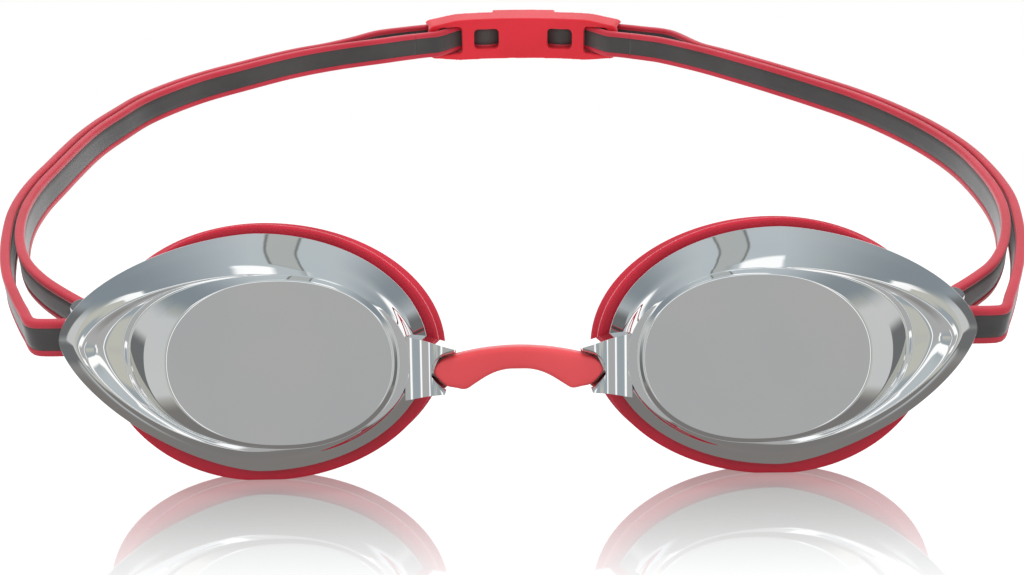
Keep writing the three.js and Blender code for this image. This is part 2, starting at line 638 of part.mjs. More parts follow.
function add(name, geometry, material) {
  const mesh = new THREE.Mesh(geometry, material);
  mesh.name = name;
  goggles.add(mesh);
}

add('nosepiece', nosepiece(), coral);
const lensGeometry = lens();
const gasketGeometry = gasket();
add('right_lens', lensGeometry, mirror);
add('left_lens', mirroredX(lensGeometry), mirror);
add('right_gasket', gasketGeometry, crimson);
add('left_gasket', mirroredX(gasketGeometry), crimson);
for (const side of ['left', 'right']) {
  const routes = sideRoutes(side);
  add(`${side}_strap_bend`, strapAlong(routes.bend, { cutStart: true, cutEnd: true }), strapRed);
  add(`${side}_strap_outer`, strapAlong(routes.outerRun, { cutStart: true }), strapRed);
  add(`${side}_strap_inner`, strapAlong(routes.innerRun, { cutStart: true }), strapRed);
  add(`${side}_strap_end`, strapAlong(routes.woven), strapRed);
}
add('strap_clip', strapClip(), clipRed);

const extent = new THREE.Box3().setFromObject(goggles);
goggles.position.y = -(extent.min.y + extent.max.y) / 2;

export default goggles;
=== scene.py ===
"""Racing swim goggles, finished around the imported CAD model.

Shapes are worked out in millimetres in the goggles' own directions: x to the right as
seen from the front, y back towards the head from the plane of the lens windows, z up
from the surface they stand on. The lens, gasket and strap shapes repeat the CAD model's
dimensions at a finer step. Names say left and right as seen from the front.
"""
import math

import bmesh
import bpy
from mathutils import Matrix, Vector

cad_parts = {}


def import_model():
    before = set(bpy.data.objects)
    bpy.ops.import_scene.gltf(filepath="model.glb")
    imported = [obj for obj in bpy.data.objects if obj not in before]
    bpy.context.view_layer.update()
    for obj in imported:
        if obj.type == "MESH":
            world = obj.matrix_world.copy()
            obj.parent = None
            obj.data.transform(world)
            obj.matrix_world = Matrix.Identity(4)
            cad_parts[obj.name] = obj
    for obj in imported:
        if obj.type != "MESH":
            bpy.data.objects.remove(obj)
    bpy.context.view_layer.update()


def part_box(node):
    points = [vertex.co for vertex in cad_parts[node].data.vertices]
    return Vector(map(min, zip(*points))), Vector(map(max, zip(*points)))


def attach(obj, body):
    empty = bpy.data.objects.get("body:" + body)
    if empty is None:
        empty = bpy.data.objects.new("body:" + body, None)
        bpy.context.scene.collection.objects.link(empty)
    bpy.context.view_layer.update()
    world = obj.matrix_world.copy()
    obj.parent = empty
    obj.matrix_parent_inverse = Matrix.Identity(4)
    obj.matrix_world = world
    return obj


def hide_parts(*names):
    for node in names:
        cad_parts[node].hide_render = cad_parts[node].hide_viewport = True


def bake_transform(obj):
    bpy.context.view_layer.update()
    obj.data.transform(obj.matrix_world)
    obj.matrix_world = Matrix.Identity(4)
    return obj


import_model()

MM = 0.001
WINDOW_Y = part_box("right_lens")[0].y / MM      # row-frame y of the window plane
SIDES = {"left": -1, "right": 1}

# ---- sizes shared with the CAD model, in millimetres ----
GAP = 0.35
TIP_X, RIM_NASAL_X, EYE_REACH, RIM_HALF_HEIGHT = 77.6, 15.3, 29.2, 20.55
RIM_Y, TIP_Y, RIM_THICKNESS, WALL = 9.0, 6.2, 1.25, 1.8
WINDOW_NASAL_X, WINDOW_TEMPLE_X = RIM_NASAL_X + 5.3, TIP_X - 19.6
WINDOW_HALF_HEIGHT = RIM_HALF_HEIGHT - 6.9
SKIRT_X, SKIRT_END_Y, SKIRT_INSET = 69.15, 12.6, 1.9
LIP_REACH, FLANGE_REACH, FLANGE_NASAL_REACH, FLANGE_TEMPLE_X = 1.75, 1.9, 2.6, TIP_X - 2.6
GASKET_DROP = 0.35
FLANGE_Y, FLANGE_THICKNESS, SEAL_Y, TEMPLE_SWEEP, SEAL_INSET = 15.4, 1.7, 20.4, 3.89, 5.2
FOOT_DEPTH = 0.3
MIDDLE_Z = RIM_HALF_HEIGHT + FLANGE_REACH + GASKET_DROP - FOOT_DEPTH
GASKET_Z = MIDDLE_Z - GASKET_DROP
EYE_X = RIM_NASAL_X + EYE_REACH

NOSE_END_X, NOSE_FRONT_Y, NOSE_DEPTH, NOSE_ARCH_THICKNESS = RIM_NASAL_X - 1.2, 2.4, 4.4, 3.8
NOSE_REAR_Y = NOSE_FRONT_Y + NOSE_DEPTH
ARCH_TOP_Z = MIDDLE_Z + 1.35
SOCKET_GAP, SOCKET_FLOOR, SOCKET_LIP, SOCKET_CHEEK = 0.5, 1.3, 1.1, 4.7

STRAP_WIDTH, STRAP_THICKNESS = 7.0, 1.8
HALF_WIDTH, HALF_THICKNESS = STRAP_WIDTH / 2, STRAP_THICKNESS / 2
STRAP_RISE = math.radians(24)
BAR_X, BAR_Y, BAR_Z, BAR_RADIUS = TIP_X - 2.6, 13.0, MIDDLE_Z + 3.9, 1.1
BEND_RADIUS = BAR_RADIUS + GAP + HALF_THICKNESS
LUG_THICKNESS = 1.6
CUT_X = TIP_X + 3.4
NEST = STRAP_THICKNESS + 0.5
BACK_RADIUS, BACK_T = 85.0, 156.5
ARC_BEYOND_CLIP = 12.7
WIDEST = {"left": (99.9, 54.0), "right": (98.5, 54.1)}
LEAVING_DEG = 135

CLIP_MIDDLE_DEG, CLIP_GAP, CLIP_PLATE, CLIP_BACK = 2.1, 0.5, 2.0, 1.4
CLIP_BORDER, CLIP_END_BORDER = 2.3, 1.2
SLOT_LENGTH = WINDOW_LENGTH = 6.8
CLIP_CENTRE, CLIP_CROSSBAR, CLIP_END_BAR = 6.7, 3.3, 2.4
CLIP_WINDOW_AT = CLIP_CENTRE + WINDOW_LENGTH / 2
SLOT_AT = CLIP_CENTRE + WINDOW_LENGTH + CLIP_CROSSBAR + SLOT_LENGTH / 2
CLIP_HALF_LENGTH = SLOT_AT + SLOT_LENGTH / 2 + CLIP_END_BAR
KEEPER_HALF_LENGTH, OUTER_HALF_SPLIT = 8.0, 1.5
STRAP_END_AT = CLIP_CENTRE - 3.7
PLATE_FRONT = HALF_THICKNESS + CLIP_GAP
PLATE_REAR = PLATE_FRONT + CLIP_PLATE
WEAVE_REAR = PLATE_REAR + CLIP_GAP + HALF_THICKNESS
WEAVE_BULGE = WEAVE_REAR - 0.9
OUTER_AT_CLIP = WEAVE_REAR + STRAP_THICKNESS + CLIP_GAP
CLIP_REAR = OUTER_AT_CLIP + HALF_THICKNESS + CLIP_GAP + CLIP_BACK

# ---- sizes of the visible detail only ----
RING_POINTS = 224          # round each eye
ROUND_STEPS = 4            # across each rounded edge
STRAP_STEP = 0.9           # along the strap
JUNCTION = 4.5             # strap run ends this far outside the clip
TAIL = 4.6                 # strap end goes on this far inside the run
TAIL_SHRINK = 0.03         # and is this much smaller all round there
LUG_LEAN = 3.2             # a lug's foot is this far inside its bar
LUG_HALF_WIDTH = 1.6
BAR_END_INSET = 0.2        # the bar stops this far short of the lugs' outer faces
BAND_BULGE = 0.35          # of the lens's outer band, towards the front
WINDOW_DROP = 0.5          # middle of the window below the middle of the cup
NOSE_END_ROUND, NOSE_END_THINNING = 1.2, 0.7
MOUTH_FLARE = 0.9          # of the nosepiece pocket at the socket's face
CLIP_CORNER, OPENING_CORNER = 1.6, 1.1
CLIP_VOXEL = 0.22


# ---- camera, in millimetres, degrees and pixels ----
CAMERA_AT = (-0.90, -208.17, 52.17)
CAMERA_PITCH, CAMERA_ROLL = 5.0, -0.8
FOCAL_PIXELS, FRAME_WIDTH, SENSOR = 1280.0, 1024.0, 36.0
SEES_FROM, SEES_TO = 0.01, 50             # metres


def world(x, y, z):
    """A point in millimetres from the window plane, as a row-frame point in metres."""
    return Vector((x, y + WINDOW_Y, z)) * MM


def make_camera():
    data = bpy.data.cameras.new("camera")
    data.sensor_width = SENSOR
    data.lens = FOCAL_PIXELS / FRAME_WIDTH * SENSOR
    data.clip_start = SEES_FROM
    data.clip_end = SEES_TO
    camera = bpy.data.objects.new("camera", data)
    bpy.context.scene.collection.objects.link(camera)
    turn = Matrix.Rotation(math.radians(90 - CAMERA_PITCH), 4, "X") @ Matrix.Rotation(
        math.radians(CAMERA_ROLL), 4, "Z")
    camera.matrix_world = Matrix.Translation(world(*CAMERA_AT)) @ turn
    bpy.context.scene.camera = camera


make_camera()


# ---- mesh helpers ----

def new_object(name, points, faces, materials, face_slots=None):
    """A smooth-shaded mesh object from millimetre points."""
    mesh = bpy.data.meshes.new(name)
    mesh.from_pydata([world(*p) for p in points], [], faces)
    for material in materials:
        mesh.materials.append(material)
    if face_slots:
        mesh.polygons.foreach_set("material_index", face_slots)
    mesh.polygons.foreach_set("use_smooth", [True] * len(mesh.polygons))
    built = bmesh.new()
    built.from_mesh(mesh)
    bmesh.ops.recalc_face_normals(built, faces=built.faces)
    built.to_mesh(mesh)
    built.free()
    made = bpy.data.objects.new(name, mesh)
    bpy.context.scene.collection.objects.link(made)
    return made


def grid_faces(rows, count, closes):
    """Quads between rows of points that each close on themselves."""
    faces = []
    for i in range(rows if closes else rows - 1):
        a, b = i * count, ((i + 1) % rows) * count
        faces += [(a + j, b + j, b + (j + 1) % count, a + (j + 1) % count) for j in range(count)]
    return faces


LARGEST_CORNER = 0.42      # share of an edge that one rounded corner takes
GUARD, GUARD_SHARE = 0.12, 0.05    # a row this far beyond each corner keeps the faces flat


def rounded_profile(keys, closes):
    """Rows through key points with each corner rounded.

    keys is a list of (point, radius). Every corner gives the same number of points, so
    profiles at neighbouring stations match.
    """
    count = len(keys)
    row = []
    for i, (point, radius) in enumerate(keys):
        if not closes and i in (0, count - 1):
            row.append(point)
            continue
        before, after = keys[i - 1][0], keys[(i + 1) % count][0]
        into, out = before - point, after - point
        reach = min(radius, LARGEST_CORNER * into.length, LARGEST_CORNER * out.length)
        guard = reach + min(GUARD, GUARD_SHARE * into.length, GUARD_SHARE * out.length)
        start, end = point + into.normalized() * reach, point + out.normalized() * reach
        row.append(point + into.normalized() * guard)
        for k in range(ROUND_STEPS + 1):
            u = k / ROUND_STEPS
            row.append(start * (1 - u) ** 2 + point * (2 * u * (1 - u)) + end * u ** 2)
        row.append(point + out.normalized() * guard)
    return row


def loft_rings(name, rings, radii, materials, slot_of_key, closes=False, side=1):
    """A body through key rings, with rounded edges at each ring.

    slot_of_key gives the material of the faces from each ring to the next.
    """
    stations = len(rings[0])
    columns = [rounded_profile([(Vector(ring[j]), r) for ring, r in zip(rings, radii)], closes)
               for j in range(stations)]
    rows = len(columns[0])
    points = [(side * column[i].x, column[i].y, column[i].z)
              for i in range(rows) for column in columns]
    faces = grid_faces(rows, stations, closes)
    per_corner = ROUND_STEPS + 3
    middle = per_corner // 2
    first = 1 if not closes else 0
    face_slots = []
    for i in range(rows if closes else rows - 1):
        key = (i - first + per_corner - middle) // per_corner + (0 if not closes else -1)
        key = min(max(key, 0), len(slot_of_key) - 1)
        face_slots += [slot_of_key[key]] * stations
    if not closes:
        for start, key in ((0, 0), ((rows - 1) * stations, -1)):
            ring = [Vector(points[start + j]) for j in range(stations)]
            centre = sum(ring, Vector()) / stations
            points.append(tuple(centre))
            last = len(points) - 1
            faces += [(last, start + j, start + (j + 1) % stations) for j in range(stations)]
            face_slots += [slot_of_key[key]] * stations
    return new_object(name, points, faces, materials, face_slots)


def finished(made, *modifiers):
    """Adds the modifiers, given as (type, settings), and applies them to the mesh."""
    for kind, settings in modifiers:
        modifier = made.modifiers.new(kind.lower(), kind)
        for key, value in settings.items():
            setattr(modifier, key, value)
    depsgraph = bpy.context.evaluated_depsgraph_get()
    mesh = bpy.data.meshes.new_from_object(made.evaluated_get(depsgraph))
    made.modifiers.clear()
    made.data = mesh
    return made


def carved(body, cutters):
    """body with the cutters taken away; the cutters are removed."""
    for cutter in cutters:
        finished(body, ("BOOLEAN", {"object": cutter, "operation": "DIFFERENCE", "solver": "EXACT"}))
        bpy.data.objects.remove(cutter)
    return body


# ---- material helpers ----

class Nodes:
    """Short calls for building a node tree."""

    def __init__(self, tree):
        self.tree = tree

    def add(self, kind, inputs=None, **settings):
        node = self.tree.nodes.new(kind)
        for key, value in settings.items():
            setattr(node, key, value)
        for key, value in (inputs or {}).items():
            self.set(node.inputs[key], value)
        return node

    def set(self, socket, value):
        if isinstance(value, bpy.types.NodeSocket):
            self.tree.links.new(value, socket)
        else:
            socket.default_value = value

    def noise(self, vector, scale, detail=3.0):
        inputs = {"Vector": vector, "Scale": scale, "Detail": detail}
        return self.add("ShaderNodeTexNoise", inputs).outputs["Fac"]

    def math(self, operation, a, b=0.0):
        return self.add("ShaderNodeMath", {0: a, 1: b}, operation=operation).outputs[0]

    def ramp(self, value, low, high, out_low=0.0, out_high=1.0):
        return self.add("ShaderNodeMapRange", {"Value": value, "From Min": low, "From Max": high,
                                               "To Min": out_low, "To Max": out_high},
                        interpolation_type="SMOOTHSTEP").outputs[0]

    def mix(self, factor, a, b):
        node = self.add("ShaderNodeMix", data_type="RGBA")
        self.set(node.inputs["Factor"], factor)
        self.set(node.inputs[6], a)
        self.set(node.inputs[7], b)
        return node.outputs[2]

    def bump(self, height, strength, distance):
        return self.add("ShaderNodeBump", {"Height": height, "Strength": strength,
                                           "Distance": distance}).outputs["Normal"]


def new_material(name):
    material = bpy.data.materials.new(name)
    material.use_nodes = True
    nodes = Nodes(material.node_tree)
    shader = material.node_tree.nodes["Principled BSDF"]
    where = nodes.add("ShaderNodeTexCoord").outputs["Object"]
    return material, nodes, shader, where


def linear(r, g, b):
    """A display colour, 0 to 255, as the linear colour that shaders take."""
    def channel(value):
        value /= 255
        return value / 12.92 if value <= 0.04045 else ((value + 0.055) / 1.055) ** 2.4
    return (channel(r), channel(g), channel(b), 1.0)


MIRROR_SHARE = 0.79        # of the light that the coat returns
BRIGHTEST = 1.25           # of the surround that the coat reflects


def seen(r, g, b):
    """A surround whose reflection in the coat has this display colour."""
    return tuple(min(BRIGHTEST, channel / MIRROR_SHARE) for channel in linear(r, g, b)[:3]) + (1.0,)


def mirror_coat():
    """Vacuum-coated mirror: a metal with a faint tint change and a barely uneven gloss."""
    material, nodes, shader, where = new_material("mirror_coat")
    cloud = nodes.noise(where, 55.0)
    haze = nodes.noise(where, 900.0, 5.0)
    nodes.set(shader.inputs["Base Color"],
              nodes.mix(nodes.ramp(cloud, 0.3, 0.7), linear(227, 229, 230), linear(231, 231, 230)))
    nodes.set(shader.inputs["Roughness"], nodes.ramp(haze, 0.3, 0.75, 0.018, 0.05))
    nodes.set(shader.inputs["Normal"], nodes.bump(nodes.noise(where, 260.0, 2.0), 0.04, 0.0001))
    shader.inputs["Metallic"].default_value = 1.0
    return material


def smoked_plastic():
    """Dark polycarbonate of the lens behind its coat: rim edge, skirt and inside."""
    material, nodes, shader, where = new_material("smoked_plastic")
    cloud = nodes.noise(where, 120.0)
    nodes.set(shader.inputs["Base Color"],
              nodes.mix(nodes.ramp(cloud, 0.3, 0.7), linear(74, 77, 80), linear(88, 91, 93)))
    nodes.set(shader.inputs["Roughness"], nodes.ramp(nodes.noise(where, 1200.0), 0.3, 0.7, 0.08, 0.16))
    shader.inputs["Coat Weight"].default_value = 0.6
    shader.inputs["Coat Roughness"].default_value = 0.04
    return material


def silicone(name, deep, light, roughness, grain=2600.0, sheen=0.25):
    """Moulded silicone or soft plastic: a fine matte grain with slow colour drift."""
    material, nodes, shader, where = new_material(name)
    drift = nodes.noise(where, 70.0, 4.0)
    fine = nodes.noise(where, grain, 4.0)
    nodes.set(shader.inputs["Base Color"], nodes.mix(nodes.ramp(drift, 0.25, 0.75), deep, light))
    nodes.set(shader.inputs["Roughness"], nodes.ramp(fine, 0.2, 0.8, roughness - 0.06, roughness + 0.08))
    nodes.set(shader.inputs["Normal"], nodes.bump(fine, 0.16, 0.00008))
    shader.inputs["Sheen Weight"].default_value = sheen
    shader.inputs["Sheen Roughness"].default_value = 0.45
    shader.inputs["Subsurface Weight"].default_value = 0.12
    shader.inputs["Subsurface Radius"].default_value = (1.0, 0.25, 0.2)
    shader.inputs["Subsurface Scale"].default_value = 0.0015
    return material


mirror = mirror_coat()
smoked = smoked_plastic()
gasket_red = silicone("gasket_red", linear(190, 4, 40), linear(206, 14, 50), 0.42, sheen=0.12)
nose_coral = silicone("nose_coral", linear(222, 66, 72), linear(232, 78, 84), 0.4, sheen=0.1)
rail_red = silicone("rail_red", linear(186, 30, 50), linear(200, 42, 64), 0.42, sheen=0.25)
core_grey = silicone("core_grey", linear(56, 54, 54), linear(68, 66, 65), 0.46, sheen=0.5)
clip_red = silicone("clip_red", linear(214, 24, 42), linear(224, 34, 52), 0.34, grain=1800.0, sheen=0.1)


# ---- lens ----

VALLEY_HALF_WIDTH = 0.62   # share of the half height


def signed_power(value, power):
    return math.copysign(abs(value) ** power, value)


def eye_ring(nasal, temple, half, y, mid_x=EYE_X, mid_z=MIDDLE_Z, lift=0.0, full_nasal=2.0,
             full_temple=1.6, temple_y=None, scoop=0.0):
    """A closed outline round one eye, drawn for the right side, as the CAD model draws it.

    scoop sinks a V-shaped valley into the temple end, deepest along the middle line.
    """
    temple_y = y if temple_y is None else temple_y
    ring = []
    for i in range(RING_POINTS):
        angle = i / RING_POINTS * math.tau
        c, s = math.cos(angle), math.sin(angle)
        power = 2 / (full_temple if c >= 0 else full_nasal)
        reach = temple - mid_x if c >= 0 else mid_x - nasal
        templeness = ((1 + c) / 2) ** 4
        valley = scoop * max(0.0, 1 - abs(s) / VALLEY_HALF_WIDTH) * templeness
        ring.append((mid_x + reach * signed_power(c, power),
                     y + (temple_y - y) * templeness + valley,
                     mid_z + half * signed_power(s, power) + lift * max(0.0, c) ** 2))
    return ring


def window(grow, **extra):
    sizes = dict(mid_x=(WINDOW_NASAL_X + WINDOW_TEMPLE_X) / 2, nasal=WINDOW_NASAL_X - grow,
                 temple=WINDOW_TEMPLE_X + grow, half=WINDOW_HALF_HEIGHT + grow,
                 mid_z=MIDDLE_Z - WINDOW_DROP, full_nasal=2.15, full_temple=2.15)
    sizes.update(extra)
    return sizes


def rim(inset, **extra):
    sizes = dict(nasal=RIM_NASAL_X + inset, temple=TIP_X - inset,
                 half=RIM_HALF_HEIGHT - inset, lift=3.0)
    sizes.update(extra)
    return sizes


def skirt(inset, **extra):
    sizes = dict(nasal=RIM_NASAL_X + SKIRT_INSET + inset, temple=SKIRT_X - inset,
                 half=RIM_HALF_HEIGHT - SKIRT_INSET - inset, full_temple=2.0)
    sizes.update(extra)
    return sizes


def ridge(**extra):
    sizes = dict(mid_x=EYE_X - 0.5, nasal=RIM_NASAL_X + 2.7, temple=TIP_X - 5.0,
                 half=RIM_HALF_HEIGHT - 5.75, mid_z=MIDDLE_Z - 0.7, lift=2.4,
                 full_nasal=2.2, full_temple=1.65)
    sizes.update(extra)
    return sizes


def make_lens(side):
    rim_rear, tip_rear = RIM_Y + RIM_THICKNESS, TIP_Y + RIM_THICKNESS
    coat, plastic = 0, 1
    outer_band = rim(2.4, lift=3.2, y=RIM_Y * 0.56, temple_y=TIP_Y - 1.5)
    profile = [
        (window(0, y=0), 0.3, coat),
        (window(0.5, temple=WINDOW_TEMPLE_X + 4.0, y=0.5, temple_y=2.0), 0.3, coat),
        (window(0.75, temple=WINDOW_TEMPLE_X + 7.2, lift=1.2, y=0.75, temple_y=4.4), 0.3, coat),
        (window(0.95, temple=WINDOW_TEMPLE_X + 8.0, lift=1.8, y=0.85, temple_y=4.05), 0.22, coat),
        (ridge(temple=TIP_X - 7.6, half=RIM_HALF_HEIGHT - 5.9, y=1.0, temple_y=4.6, scoop=0.9),
         1.6, coat),
        (ridge(y=1.1, temple_y=4.0), 0.28, coat),
        (outer_band, 2.2, coat),
        (rim(0, y=RIM_Y, temple_y=TIP_Y), 0.3, plastic),
        (rim(0.3, y=rim_rear, temple_y=tip_rear), 0.3, plastic),
        (skirt(0, y=rim_rear, temple_y=tip_rear + 0.4), 0.3, plastic),
        (skirt(0, y=SKIRT_END_Y), 0.3, plastic),
        (skirt(WALL, y=SKIRT_END_Y), 0.3, plastic),
        (skirt(WALL, y=RIM_Y - 0.4), 0.8, plastic),
        (window(1.1, temple=SKIRT_X - 3.4, y=WALL + 1.6, temple_y=TIP_Y + 1.0), 1.0, plastic),
        (window(-0.4, y=WALL), 0.3, plastic),
    ]
    # the window and its inside face are flat: an extra ring inside each keeps them so
    flat_front = window(-1.5, y=0)
    flat_rear = window(-2.0, y=WALL)
    profile = [(flat_front, 0, coat)] + profile + [(flat_rear, 0, plastic)]
    rings = [eye_ring(**sizes) for sizes, _, _ in profile]
    # the outer band bulges a little between the ridge and the rim
    band = next(i for i, (sizes, _, _) in enumerate(profile) if sizes is outer_band)
    halfway = [tuple((a + b) / 2 for a, b in zip(p, q)) for p, q in zip(rings[band - 1], rings[band])]
    rings.insert(band, [(x, y - BAND_BULGE, z) for x, y, z in halfway])
    profile.insert(band, (None, 2.2, coat))
    made = loft_rings(f"{side}_lens_shell", rings, [radius for _, radius, _ in profile],
                      [mirror, smoked], [slot for _, _, slot in profile], side=SIDES[side])
    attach(made, f"{side}_cup")
    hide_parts(f"{side}_lens")


# ---- gasket ----
LIP_TEMPLE_REACH = 1.7     # past the skirt's temple end


def make_gasket(side):
    lip_y = RIM_Y + RIM_THICKNESS + GAP
    lip_temple_y = TIP_Y + RIM_THICKNESS + GAP + 0.9

    def lip(inset=0.0, temple_inset=0.0, **extra):
        return rim(-LIP_REACH + inset, temple=SKIRT_X + LIP_TEMPLE_REACH - temple_inset,
                   mid_z=GASKET_Z, lift=0.0, full_temple=2, **extra)

    def flange(inset, **extra):
        return rim(-FLANGE_REACH + inset, nasal=RIM_NASAL_X - FLANGE_NASAL_REACH + inset,
                   temple=FLANGE_TEMPLE_X - inset, mid_z=GASKET_Z, lift=0.0, full_temple=2, **extra)

    def swept(y):
        return dict(y=y, temple_y=y + TEMPLE_SWEEP)

    profile = [
        (skirt(-GAP, y=lip_y, temple_y=lip_temple_y), 0.2),
        (lip(y=lip_y, temple_y=lip_temple_y), 0.6),
        (lip(y=lip_y + 1.7, temple_y=lip_temple_y + 2.4), 0.6),
        (lip(1.3, 0.9, y=lip_y + 2.6, temple_y=lip_temple_y + 4.2), 0.6),
        (flange(0.5, **swept(FLANGE_Y)), 0.8),
        (flange(0, **swept(FLANGE_Y + FLANGE_THICKNESS / 2)), 0.8),
        (flange(0.9, **swept(FLANGE_Y + FLANGE_THICKNESS + 0.8)), 1.2),
        (flange(2.9, **swept(SEAL_Y)), 1.4),
        (flange(SEAL_INSET, **swept(SEAL_Y - 0.9)), 1.0),
        (skirt(WALL, **swept(SEAL_Y - 4.6)), 0.8),
        (skirt(WALL, y=SKIRT_END_Y + GAP), 0.3),
        (skirt(-GAP, y=SKIRT_END_Y + GAP), 0.3),
    ]
    rings = [eye_ring(**sizes) for sizes, _ in profile]
    grounded = [[(x, y, max(z, 0.0)) for x, y, z in ring] for ring in rings]
    made = loft_rings(f"{side}_gasket_seal", grounded, [radius for _, radius in profile], [gasket_red],
                      [0], closes=True, side=SIDES[side])
    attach(made, f"{side}_cup")
    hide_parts(f"{side}_gasket")


# ---- nosepiece and sockets ----
# upper and lower edge, as (share of the half length, height from the arch's top and underside)
NOSE_UPPER = [(0, 0), (0.32, -0.25), (0.525, -0.65), (0.73, -1.25), (0.9, -2.0), (0.972, -2.95)]
NOSE_LOWER = [(1, -0.4), (0.943, -1.6), (0.851, -2.75), (0.745, -3.1), (0.631, -3.35),
              (0.525, -2.5), (0.397, -1.35), (0.27, -0.5), (0.135, -0.05), (0, 0)]


def catmull_rom(points, spacing):
    """Evenly spaced points on a centripetal curve through 2-D points."""
    padded = [points[0] * 2 - points[1]] + list(points) + [points[-1] * 2 - points[-2]]
    dense = [points[0]]
    for p0, p1, p2, p3 in zip(padded, padded[1:], padded[2:], padded[3:]):
        d0, d1, d2 = (max((b - a).length, 1e-6) ** 0.5 for a, b in ((p0, p1), (p1, p2), (p2, p3)))
        t1 = ((p1 - p0) / d0 - (p2 - p0) / (d0 + d1) + (p2 - p1) / d1) * d1
        t2 = ((p2 - p1) / d1 - (p3 - p1) / (d1 + d2) + (p3 - p2) / d2) * d1
        for k in range(1, 25):
            u = k / 24
            dense.append(p1 * (2 * u ** 3 - 3 * u ** 2 + 1) + t1 * (u ** 3 - 2 * u ** 2 + u)
                         + p2 * (-2 * u ** 3 + 3 * u ** 2) + t2 * (u ** 3 - u ** 2))
    return respaced(dense, spacing)


def respaced(dense, spacing):
    lengths = [0.0]
    for a, b in zip(dense, dense[1:]):
        lengths.append(lengths[-1] + (b - a).length)
    steps = max(2, round(lengths[-1] / spacing))
    even, at = [], 0
    for i in range(steps + 1):
        wanted = lengths[-1] * i / steps
        while at < len(lengths) - 2 and lengths[at + 1] < wanted:
            at += 1
        span = max(lengths[at + 1] - lengths[at], 1e-9)
        even.append(dense[at].lerp(dense[at + 1], min(1.0, (wanted - lengths[at]) / span)))
    return even


def nose_outline(spacing=0.35):
    """The nosepiece in front view, as one smooth closed line of (x, z)."""
    upper = [Vector((share * NOSE_END_X, ARCH_TOP_Z + z)) for share, z in NOSE_UPPER]
    lower = [Vector((share * NOSE_END_X, ARCH_TOP_Z - NOSE_ARCH_THICKNESS + z))
             for share, z in NOSE_LOWER]
    half = upper + lower
    mirrored = [Vector((-p.x, p.y)) for p in half]
    around = [mirrored[1]] + half + [mirrored[-2]]
    smooth = catmull_rom(around, spacing / 4)
    smooth = [p for p in smooth if p.x >= -1e-6]
    right = respaced(smooth, spacing)
    right[0].x = right[-1].x = 0.0
    return right + [Vector((-p.x, p.y)) for p in reversed(right[1:-1])]


def grown(points, distance):
    """The closed outline, clockwise in front view, moved outwards."""
    count = len(points)
    moved = []
    for i, p in enumerate(points):
        along = (points[(i + 1) % count] - points[i - 1]).normalized()
        moved.append(p + Vector((-along.y, along.x)) * distance)
    return moved


def stacked(name, layers, materials):
    """A body from front-view outlines at given depths: layers of (outline, y)."""
    count = len(layers[0][0])
    points = [(p.x, y, p.y) for outline, y in layers for p in outline]
    faces = grid_faces(len(layers), count, False)
    faces.append(tuple(range(count)))
    faces.append(tuple(reversed(range(len(points) - count, len(points)))))
    return new_object(name, points, faces, materials)


def smoothstep(value, low, high):
    u = min(1.0, max(0.0, (value - low) / (high - low)))
    return u * u * (3 - 2 * u)


def height_at(line, x):
    """Height of a line of (x, z) points with rising x."""
    for p, q in zip(line, line[1:]):
        if x <= q.x:
            return p.y + (q.y - p.y) * max(0.0, x - p.x) / max(q.x - p.x, 1e-9)
    return line[-1].y


def make_nosepiece():
    """Rounded sections from one end of the bridge to the other."""
    right = [p for p in nose_outline(0.15) if p.x >= 0]
    tip = max(range(len(right)), key=lambda i: right[i].x)
    upper, lower = right[:tip + 1], sorted(right[tip:], key=lambda p: p.x)
    stations, around, squareness = 90, 48, 2 / 5
    middle_y, half_depth = (NOSE_FRONT_Y + NOSE_REAR_Y) / 2, NOSE_DEPTH / 2
    points = []
    for i in range(stations + 1):
        x = -NOSE_END_X * math.cos(math.pi * (i + 0.4) / (stations + 0.8))
        top, bottom = height_at(upper, abs(x)), height_at(lower, abs(x))
        middle, half = (top + bottom) / 2, (top - bottom) / 2
        end = min(1.0, (NOSE_END_X - abs(x)) / NOSE_END_ROUND)
        depth = half_depth - NOSE_END_THINNING * (1 - math.sqrt(max(0.0, 1 - (1 - end) ** 2)))
        for k in range(around):
            angle = k / around * math.tau
            points.append((x, middle_y + depth * signed_power(math.cos(angle), squareness),
                           middle + half * signed_power(math.sin(angle), squareness)))
    faces = grid_faces(stations + 1, around, False)
    faces += [tuple(range(around)), tuple(reversed(range(stations * around, (stations + 1) * around)))]
    made = new_object("nosepiece_bridge", points, faces, [nose_coral])
    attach(made, "nosepiece")
    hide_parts("nosepiece")


